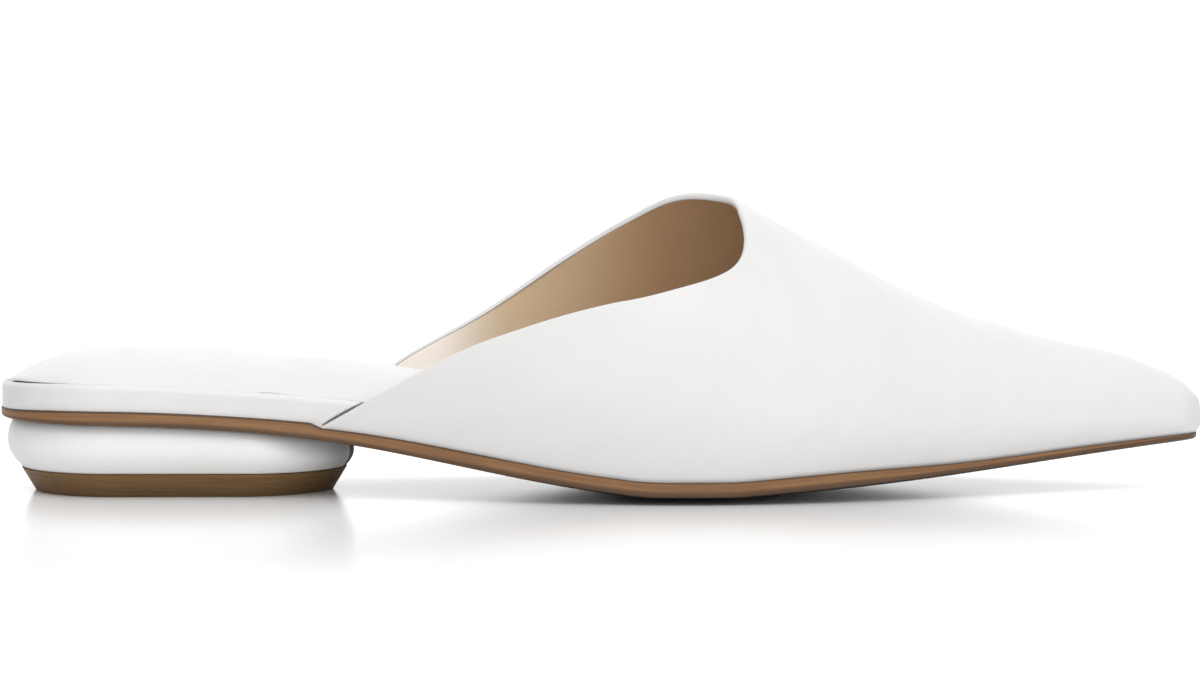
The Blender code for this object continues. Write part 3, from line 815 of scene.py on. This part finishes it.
def make_upper(finish):
    """The leather: the last's own skin, rolled over the topline and turned in along it."""
    along = np.linspace(0, 1, UPPER_STEPS + 1)[:, None] ** ROW_GRADING
    outer = np.concatenate([skin(along), nose_rows()])
    turns = RIM_TURN + (TOE_TURN - RIM_TURN) * smoothstep(along)
    turns = np.concatenate([turns, np.broadcast_to(TOE_TURN, (NOSE_STEPS, ROUND_STEPS + 1))])
    normal = surface_normals(outer)
    outer = creased(outer, normal, turns)
    back, away = rim_frame(outer, normal)
    shift = RIM_REACH - RIM_REACH_OF_SOLID - INNER_RIM_MORE * inner_rim()[:, None]
    outer = outer - shift * rim_fade(len(outer)) * back
    half = WALL / 2
    roll = []
    for turn in np.linspace(math.pi, 0, ROLL_STEPS + 1)[:-1]:
        depth = half - half * math.cos(turn)
        roll.append(outer[0] - depth * away + RIM_REACH * math.sin(turn) * back)
    turned = [outer[0] - WALL * away - part * TURN_IN * back for part in HEM_ROWS]
    tucked = outer[0] - (WALL - GROOVE_DEPTH) * away - (TURN_IN + GROOVE_WIDTH / 2) * back
    hem = (outer[0] - (WALL - HEM_DEPTH_SHARE * GROOVE_DEPTH) * away
           - (TURN_IN + HEM_WIDTH_SHARE * GROOVE_WIDTH) * back)
    grid = np.concatenate([[tucked], [hem], turned, roll, outer])
    # The turned-in edge and the groove are painted dark: painted shade of the groove between the
    # leather and the lining
    groove_shade = np.zeros(grid.shape[:2])
    groove_shade[:2 + len(turned)] = 1.0
    return grid_piece("upper_leather", clear_of_sole(grid), finish, marks={"groove_shade": groove_shade},
                      replaces="upper")


def make_lining(finish):
    """The lining, from its own folded edge below the topline down to the sole and the nose."""
    nudge = 0.001
    rim = skin(np.zeros((1, 1)))[0]
    speed = np.linalg.norm(skin(np.full((1, 1), nudge))[0] - rim, axis=-1) / nudge
    below = (TURN_IN + GROOVE_WIDTH + RIM_REACH - RIM_REACH_OF_SOLID
             - INNER_RIM_MORE * inner_rim())
    start = below / speed
    share = np.linspace(0, 1, LINING_STEPS + 1)[:, None] ** ROW_GRADING
    outer = np.concatenate([skin(start + (1 - start) * share), nose_rows()])
    normal = surface_normals(outer)
    inner = outer - WALL * normal
    back, away = rim_frame(outer, normal)
    fold = []
    for turn in np.linspace(math.pi, math.pi / 2, FOLD_STEPS + 1)[:-1]:
        sunk = LINING_ROUND * (1 - math.sin(turn))
        reach = -LINING_ROUND * math.cos(turn)
        fold.append(inner[0] + sunk * away + reach * back)
    hidden = inner[0] + GROOVE_DEPTH * away + LINING_ROUND * back
    shifted = inner - LINING_ROUND / 2 * rim_fade(len(inner)) * back
    grid = np.concatenate([[hidden], fold, shifted])
    return grid_piece("upper_lining", clear_of_sole(grid), finish)


# Places round the heel's loops: its back, its sides and its arched front, closest at the seams
HEEL_BACK_STEPS = 18
HEEL_SIDE_STEPS = 25
ARCH_POINTS = (34, 16, 9)
SEAM_NEAR = 1.5
SEAM_CLEAR = 2.0
HEEL_BACK_SHARES = 1 - np.cos(np.linspace(0, math.pi / 2, HEEL_BACK_STEPS + 1))
ARCH_TURNS = np.concatenate([
    np.linspace(0, SEAM_TURN - SEAM_CLEAR, ARCH_POINTS[0])[1:],
    np.linspace(SEAM_TURN - SEAM_NEAR, SEAM_TURN + SEAM_NEAR, ARCH_POINTS[1]),
    np.linspace(SEAM_TURN + SEAM_CLEAR, 90, ARCH_POINTS[2])])


def heel_loop(inset, front, step=0.0):
    """A closed loop of the heel in plan: back, outer side, arched front, inner side.

    A step sinks the front's middle strip, between the seams where the wrap ends.
    """
    halves = {}
    straight = front - BREAST_ARCH
    run = np.linspace(HEEL_ROUND, straight, HEEL_SIDE_STEPS + 1)[1:]
    turn = np.radians(ARCH_TURNS)
    sunk = step * smoothstep((ARCH_TURNS - SEAM_TURN) / SEAM_RUN)
    for side in SIDES:
        px, py = outline(np.concatenate([HEEL_ROUND * HEEL_BACK_SHARES, run]), side, inset)
        arch_x = straight + BREAST_ARCH * np.sin(turn)
        across = np.clip(np.cos(turn), 0.0, 1.0) ** (2 / ARCH_POWER)
        arch_y = axis(arch_x) + (py[-1] - axis(straight)) * across
        halves[side] = np.concatenate([np.stack([px, py], axis=-1),
                                       np.stack([arch_x + step - sunk, arch_y], axis=-1)])
    return np.concatenate([halves["lateral"], halves["medial"][::-1]])


def arch_mark(low, high):
    """For each point of a heel loop, 1 between two turns of its arched front and 0 elsewhere."""
    half = np.zeros(len(HEEL_BACK_SHARES) + HEEL_SIDE_STEPS + len(ARCH_TURNS))
    half[-len(ARCH_TURNS):] = (ARCH_TURNS > low) & (ARCH_TURNS < high)
    return np.concatenate([half, half[::-1]])


def breast(inset):
    """The place of the heel's front face, which bulges less than its sides do."""
    return BREAST_X - BREAST_SHARE * (inset - HEEL_INSET)


def tower(name, levels, finish, replaces):
    """Skins closed loops stacked upward; each level is a loop and its heights."""
    grid = np.array([np.concatenate([loop, height(loop[:, 0], loop[:, 1])[:, None]], axis=1)
                     for loop, height in levels])
    share = np.linspace(0, 1, len(levels))[:, None] * np.ones((1, grid.shape[1]))
    marks = {"up": share,
             # strip: the front's middle strip, which its finish gives painted shade
             "strip": np.broadcast_to(arch_mark(SEAM_TURN + SEAM_RUN / 2, math.inf), share.shape),
             # seam: a thin band beside the outer seam, which its finish gives a painted highlight
             "seam": np.broadcast_to(arch_mark(SEAM_TURN - SEAM_LIGHT, SEAM_TURN), share.shape)}
    return grid_piece(name, grid, finish, wrap=True, caps=(0, -1),
                      marks=marks, replaces=replaces)


def make_heel_cover(finish):
    """The leather-wrapped heel block, whose wrap ends at two seams down its front.

    A ring has its share of the height, and how many edge rounds it lies farther in and up.
    """
    foot = LIFT_HEIGHT + TOUCH
    shares = np.linspace(0, 1, HEEL_LEVELS + 1)
    rings = [(0.0, 1.0, 0.0), (0.0, HEEL_EDGE_EASED, HEEL_EDGE_EASED)]
    rings += [(share, 0.0, 0.0) for share in shares[1:-1]]
    rings += [(1.0, HEEL_EDGE_EASED, -HEEL_EDGE_EASED), (1.0, 1.0, 0.0)]
    levels = []
    for share, ease, rise in rings:
        inset = HEEL_INSET + HEEL_BULGE * HEEL_PROFILE(share) + ease * HEEL_EDGE_ROUND
        levels.append((heel_loop(inset, breast(inset), SEAM_STEP),
                       heel_height(foot, share, rise * HEEL_EDGE_ROUND)))
    return tower("heel_cover", levels, finish, "heel_block")


def heel_height(foot, share, rise):
    """Heights of one level of the heel block, between the lift and the outsole."""
    return lambda x, y: foot + (sole_bottom(x, y) - TOUCH - foot) * share + rise


def make_lift(finish):
    """The top piece under the heel, which tapers in toward the floor."""
    low = LIFT_TOP_INSET + LIFT_FLARE
    front = breast(LIFT_TOP_INSET)
    edge = LIFT_EDGE_ROUND
    levels = [(heel_loop(low + edge, front - LIFT_FLARE - edge), lambda x, y: 0 * x)]
    for share in np.linspace(0, 1, LIFT_LEVELS + 1):
        inset = low - LIFT_FLARE * share
        height = edge + (LIFT_HEIGHT - 2 * edge) * share
        levels.append((heel_loop(inset, front - LIFT_FLARE * (1 - share)),
                       lambda x, y, height=height: height + 0 * x))
    levels.append((heel_loop(LIFT_TOP_INSET + edge, front - edge),
                   lambda x, y: LIFT_HEIGHT + 0 * x))
    return tower("heel_top_piece", levels, finish, "heel_lift")


class Finish:
    """A material under construction: its shader and short ways to add and link nodes."""

    def __init__(self, name, roughness, specular=0.5, coat=0.0, coat_roughness=0.3):
        self.material = bpy.data.materials.new(name)
        self.material.use_nodes = True
        self.tree = self.material.node_tree
        self.shader = self.tree.nodes["Principled BSDF"]
        self.shader.inputs["Roughness"].default_value = roughness
        self.shader.inputs["Specular IOR Level"].default_value = specular
        self.shader.inputs["Coat Weight"].default_value = coat
        self.shader.inputs["Coat Roughness"].default_value = coat_roughness
        self.place = self.add("ShaderNodeTexCoord").outputs["Object"]
        self.normal = None

    def add(self, kind, inputs=(), **settings):
        node = self.tree.nodes.new(kind)
        for name, value in settings.items():
            setattr(node, name, value)
        for name, value in dict(inputs).items():
            self.feed(node.inputs[name], value)
        return node

    def feed(self, socket, value):
        if isinstance(value, bpy.types.NodeSocket):
            self.tree.links.new(value, socket)
        else:
            socket.default_value = value

    def attribute(self, name, output="Fac"):
        return self.add("ShaderNodeAttribute", attribute_name=name).outputs[output]

    def stretched(self, vector, scale):
        node = self.add("ShaderNodeMapping", {"Vector": vector, "Scale": scale})
        return node.outputs["Vector"]

    def noise(self, scale, detail=3.0, roughness=0.5, vector=None):
        node = self.add("ShaderNodeTexNoise", {
            "Vector": vector or self.place, "Scale": scale, "Detail": detail,
            "Roughness": roughness})
        return node.outputs["Fac"]

    def cells(self, scale):
        node = self.add("ShaderNodeTexVoronoi", {"Vector": self.place, "Scale": scale})
        return node.outputs["Distance"]

    def ramp(self, value, low, high, to_low=0.0, to_high=1.0):
        node = self.add("ShaderNodeMapRange", {
            "Value": value, "From Min": low, "From Max": high,
            "To Min": to_low, "To Max": to_high}, interpolation_type="SMOOTHSTEP")
        return node.outputs["Result"]

    def mix(self, share, first, second):
        """A colour between two colours or colour outputs."""
        node = self.add("ShaderNodeMix", data_type="RGBA")
        self.feed(node.inputs[0], share)
        for socket, value in ((node.inputs[6], first), (node.inputs[7], second)):
            self.feed(socket, value if isinstance(value, bpy.types.NodeSocket) else (*value, 1.0))
        return node.outputs[2]

    def colour(self, value):
        self.tree.links.new(value, self.shader.inputs["Base Color"])

    def rough(self, value):
        self.tree.links.new(value, self.shader.inputs["Roughness"])

    def bump(self, height, distance, strength=1.0):
        inputs = {"Height": height, "Distance": distance, "Strength": strength}
        if self.normal:
            inputs["Normal"] = self.normal
        self.normal = self.add("ShaderNodeBump", inputs).outputs["Normal"]
        self.tree.links.new(self.normal, self.shader.inputs["Normal"])


# Colours, in linear light; the two tones of a pair cloud into each other
UPPER_WHITE = ((0.621, 0.617, 0.611), (0.610, 0.604, 0.595))
SHEET_WHITE = ((0.630, 0.630, 0.630), (0.622, 0.620, 0.616))
BAND_WHITE = ((0.630, 0.628, 0.624), (0.620, 0.615, 0.608))
HEEL_WHITE = ((0.705, 0.703, 0.698), (0.695, 0.690, 0.682))
# Painted shade of the groove along the upper's turned-in topline
HEM_GROOVE_SHADE = (0.110, 0.075, 0.050)
# Painted shade on the heel front's middle strip, which turns away from the light
HEEL_STRIP_SHADE = (0.370, 0.325, 0.290)
# Painted highlight of the wrap's edge beside the outer seam
HEEL_SEAM_HIGHLIGHT = (0.930, 0.920, 0.900)
# Lining tones by place: partly its own colour, partly painted light at the rear ends and painted
# shade toward the vamp
LINING_END = (0.930, 0.870, 0.810)
LINING_REAR = (0.640, 0.492, 0.322)
LINING_VAMP = (0.450, 0.274, 0.145)
LINING_CLOUD = (0.420, 0.270, 0.150)
SOLE_TAN = ((0.250, 0.128, 0.054), (0.192, 0.092, 0.038))
SOLE_STREAK = (0.130, 0.060, 0.026)
SOLE_FOOT_SHADE = (0.075, 0.040, 0.020)
SOLE_UNDERSIDE_SHADE = (0.022, 0.014, 0.009)
SOLE_TOP_SHADE = (0.035, 0.018, 0.008)
LIFT_BROWN = ((0.172, 0.097, 0.038), (0.120, 0.066, 0.025))
LIFT_FOOT = (0.050, 0.027, 0.011)
FLOOR_WHITE = ((0.935, 0.935, 0.935), (0.945, 0.945, 0.945))

# Shine of the finished leather, and the two ends of its roughness
LEATHER_SPECULAR = 0.45
LEATHER_COAT = 0.08
LEATHER_ROUGHNESS = (0.36, 0.46)

# Where the lining's tones change: shares along the shoe, and metres from the rear one
LINING_REAR_ALONG = 0.385
LINING_VAMP_ALONG = 0.565
LINING_PALE_BEHIND = 0.010
LINING_PALE_AHEAD = 0.012
LINING_TAN_AHEAD = 0.006


def leather(name, pale, warm, grain=1.0, marked=(), dull=None):
    """Smooth finished leather: slight clouding, close grain, pores and a few fine scuffs.

    Marked gives the colours that the piece's named marks turn it to, and dull the one
    mark whose raw leather doesn't shine.
    """
    finish = Finish(name, 0.42, specular=LEATHER_SPECULAR, coat=LEATHER_COAT, coat_roughness=0.35)
    cloud = finish.ramp(finish.noise(26.0, 4.0), 0.35, 0.65)
    tone = finish.mix(cloud, pale, warm)
    cell = finish.cells(1450.0)
    # A slight painted shade in the pores of the grain
    pore_shade = finish.ramp(cell, 0.35, 0.75, 0.0, 0.05)
    tone = finish.mix(pore_shade, tone, tuple(0.80 * c for c in warm))
    for mark, colour in marked:
        tone = finish.mix(finish.attribute(mark), tone, colour)
    finish.colour(tone)
    if dull:
        for socket, shine in (("Specular IOR Level", LEATHER_SPECULAR),
                              ("Coat Weight", LEATHER_COAT)):
            fading = finish.ramp(finish.attribute(dull), 0.0, 1.0, shine, 0.0)
            finish.feed(finish.shader.inputs[socket], fading)
    finish.rough(finish.ramp(finish.noise(60.0, 5.0), 0.3, 0.7, *LEATHER_ROUGHNESS))
    finish.bump(finish.noise(95.0, 3.0), 0.00012, 0.25)
    finish.bump(cell, 0.00005 * grain, 0.35)
    finish.bump(finish.noise(5200.0, 2.0), 0.00002 * grain, 0.30)
    return finish.material


def lining_leather():
    """Tan lining: paler toward its rear ends and deeper in the vamp, partly its own tone and
    partly painted light at the open rear and painted shade deep in the vamp, with an open grain.
    """
    finish = Finish("lining_tan", 0.5, specular=0.35)
    along = finish.add("ShaderNodeSeparateXYZ", {"Vector": finish.place}).outputs["X"]
    rear = HEEL_BACK + LINING_REAR_ALONG * SHOE_LENGTH
    vamp = HEEL_BACK + LINING_VAMP_ALONG * SHOE_LENGTH
    pale_end = finish.ramp(along, rear - LINING_PALE_BEHIND, rear + LINING_PALE_AHEAD)
    tan_end = finish.ramp(along, rear + LINING_TAN_AHEAD, vamp)
    tan = finish.mix(tan_end, LINING_REAR, LINING_VAMP)
    base = finish.mix(pale_end, LINING_END, tan)
    cloud = finish.ramp(finish.noise(40.0, 4.0), 0.3, 0.7, 0.0, 0.22)
    cell = finish.cells(1100.0)
    finish.colour(finish.mix(cloud, base, LINING_CLOUD))
    finish.rough(finish.ramp(finish.noise(80.0, 4.0), 0.3, 0.7, 0.42, 0.58))
    finish.bump(cell, 0.00006, 0.40)
    finish.bump(finish.noise(3600.0, 2.0), 0.00003, 0.35)
    return finish.material


def sole_edge():
    """The outsole's dyed edge: slow changes of tone, streaks along it, and painted shade along
    its top, its foot and its underside.
    """
    finish = Finish("sole_tan", 0.5, specular=0.3, coat=0.05, coat_roughness=0.4)
    flow = finish.attribute("flow", "Vector")
    along = finish.add("ShaderNodeSeparateXYZ", {"Vector": flow}).outputs["X"]
    up = finish.attribute("up")
    round_edge = finish.add("ShaderNodeCombineXYZ", {"X": along, "Y": up}).outputs["Vector"]
    streak = finish.noise(1.0, 4.0, 0.6, finish.stretched(round_edge, (60.0, 7.0, 1.0)))
    slow = finish.noise(1.0, 3.0, 0.5, finish.stretched(round_edge, (30.0, 1.2, 1.0)))
    tone = finish.mix(finish.ramp(slow, 0.36, 0.64), *SOLE_TAN)
    tone = finish.mix(finish.ramp(streak, 0.35, 0.75, 0.0, 0.5), tone, SOLE_STREAK)
    # Darker toward the foot of the edge: painted shade of the shadow line above the heel and by
    # the floor
    tone = finish.mix(finish.ramp(up, 0.0, 0.34, 0.85, 0.0), tone, SOLE_FOOT_SHADE)
    # The underside is painted nearly black: painted shade, which also darkens its reflection in
    # the floor
    tone = finish.mix(finish.attribute("under"), tone, SOLE_UNDERSIDE_SHADE)
    # Darker along the top of the edge: painted shade of the gap under the band
    finish.colour(finish.mix(finish.ramp(up, 0.88, 1.0, 0.0, 0.75), tone, SOLE_TOP_SHADE))
    finish.rough(finish.ramp(streak, 0.3, 0.7, 0.42, 0.60))
    finish.bump(streak, 0.00008, 0.35)
    finish.bump(finish.noise(900.0, 3.0), 0.00004, 0.30)
    return finish.material


def lift_rubber():
    """The dark top piece: close-grained, a little streaked round its side."""
    finish = Finish("lift_brown", 0.5, specular=0.2)
    flow = finish.attribute("flow", "Vector")
    streak = finish.noise(1.0, 3.0, 0.6, finish.stretched(flow, (1300.0, 40.0, 1.0)))
    tone = finish.mix(finish.ramp(streak, 0.3, 0.75), *LIFT_BROWN)
    low = finish.ramp(finish.attribute("up"), 0.0, 1.0, 0.42, 0.0)
    finish.colour(finish.mix(low, tone, LIFT_FOOT))
    finish.rough(finish.ramp(finish.noise(300.0, 3.0), 0.3, 0.7, 0.42, 0.56))
    finish.bump(finish.noise(1500.0, 3.0), 0.00005, 0.35)
    return finish.material


# Camera, at the photograph's angle, and stage: metres, a tilt in degrees, a lens in millimetres
CAMERA_DISTANCE = 1.300
CAMERA_HEIGHT = 0.137
CAMERA_TILT = 4.62
LENS = 170.3
SENSOR = 36.0
FLOOR_SIZE = 24.0
FLOOR_ROUGHNESS = 0.18
WORLD_STRENGTH = 1.25

# The surround's light by direction: the way, where its change begins and is full, and the factor
Surround = namedtuple("Surround", "way start full factor")
SURROUND = [
    Surround("X", -0.45, -0.95, 0.15),
    Surround("X", 0.45, 0.95, 0.58),
    Surround("Y", 0.50, 0.90, 1.18),
]

# Soft lamps: place from the middle of the shoe, width, height and power in watts
Lamp = namedtuple("Lamp", "name along across up wide high power")
LAMPS = [
    Lamp("key", -0.05, -0.75, 1.20, 1.1, 0.8, 5.6),
    Lamp("fill", 0.30, -1.50, 0.45, 1.4, 0.7, 2.6),
]
LAMP_AIM_HEIGHT = 0.02


def make_camera():
    data = bpy.data.cameras.new("camera")
    data.lens = LENS
    data.sensor_width = SENSOR
    camera = bpy.data.objects.new("camera", data)
    camera.location = (HEEL_BACK + SHOE_LENGTH / 2, -CAMERA_DISTANCE, CAMERA_HEIGHT)
    camera.rotation_euler = (math.radians(90 - CAMERA_TILT), 0.0, 0.0)
    bpy.context.scene.collection.objects.link(camera)
    bpy.context.scene.camera = camera


def make_lamp(lamp):
    """A rectangular lamp aimed at the middle of the shoe."""
    data = bpy.data.lights.new(lamp.name, "AREA")
    data.shape = "RECTANGLE"
    data.size = lamp.wide
    data.size_y = lamp.high
    data.energy = lamp.power
    light = bpy.data.objects.new(lamp.name, data)
    light.location = (HEEL_BACK + SHOE_LENGTH / 2 + lamp.along, lamp.across, lamp.up)
    fall = lamp.up - LAMP_AIM_HEIGHT
    light.rotation_euler = (math.atan2(math.hypot(lamp.along, lamp.across), fall), 0.0,
                            math.atan2(-lamp.along, lamp.across) + math.pi)
    bpy.context.scene.collection.objects.link(light)


def make_floor():
    """A plain pale floor with a soft sheen."""
    data = bpy.data.meshes.new("floor")
    half = FLOOR_SIZE / 2
    data.from_pydata([(-half, -half, 0), (half, -half, 0), (half, half, 0), (-half, half, 0)],
                     [], [(0, 1, 2, 3)])
    paper = Finish("floor_paper", FLOOR_ROUGHNESS, specular=0.5)
    paper.colour(paper.mix(paper.ramp(paper.noise(3.0), 0.3, 0.7), *FLOOR_WHITE))
    data.materials.append(paper.material)
    floor = bpy.data.objects.new("floor", data)
    bpy.context.scene.collection.objects.link(floor)


def make_surround():
    """White light from all round, dimmer toward the heel and the toe, brighter behind."""
    world = bpy.data.worlds.new("surround")
    world.use_nodes = True
    nodes = world.node_tree.nodes
    link = world.node_tree.links.new
    background = nodes["Background"]
    background.inputs["Color"].default_value = (1.0, 1.0, 1.0, 1.0)
    split = nodes.new("ShaderNodeSeparateXYZ")
    link(nodes.new("ShaderNodeTexCoord").outputs["Generated"], split.inputs["Vector"])
    strength = None
    for direction in SURROUND:
        ramp = nodes.new("ShaderNodeMapRange")
        ramp.interpolation_type = "SMOOTHSTEP"
        ramp.inputs["From Min"].default_value = direction.start
        ramp.inputs["From Max"].default_value = direction.full
        ramp.inputs["To Min"].default_value = 1.0
        ramp.inputs["To Max"].default_value = direction.factor
        link(split.outputs[direction.way], ramp.inputs["Value"])
        product = nodes.new("ShaderNodeMath")
        product.operation = "MULTIPLY"
        product.inputs[1].default_value = WORLD_STRENGTH
        link(ramp.outputs["Result"], product.inputs[0])
        if strength is not None:
            link(strength, product.inputs[1])
        strength = product.outputs["Value"]
    link(strength, background.inputs["Strength"])
    bpy.context.scene.world = world


make_camera()
make_floor()
make_surround()
for lamp in LAMPS:
    make_lamp(lamp)
bpy.context.scene.view_settings.view_transform = "Standard"

make_outsole(sole_edge())
make_band(leather("band_white", *BAND_WHITE, grain=0.8))
make_top_sheet(leather("sheet_white", *SHEET_WHITE, grain=1.2))
make_upper(leather("white_leather", *UPPER_WHITE, marked=[("groove_shade", HEM_GROOVE_SHADE)]))
make_lining(lining_leather())
make_heel_cover(leather("heel_white", *HEEL_WHITE, grain=0.8,
                        marked=[("strip", HEEL_STRIP_SHADE), ("seam", HEEL_SEAM_HIGHLIGHT)], dull="strip"))
make_lift(lift_rubber())
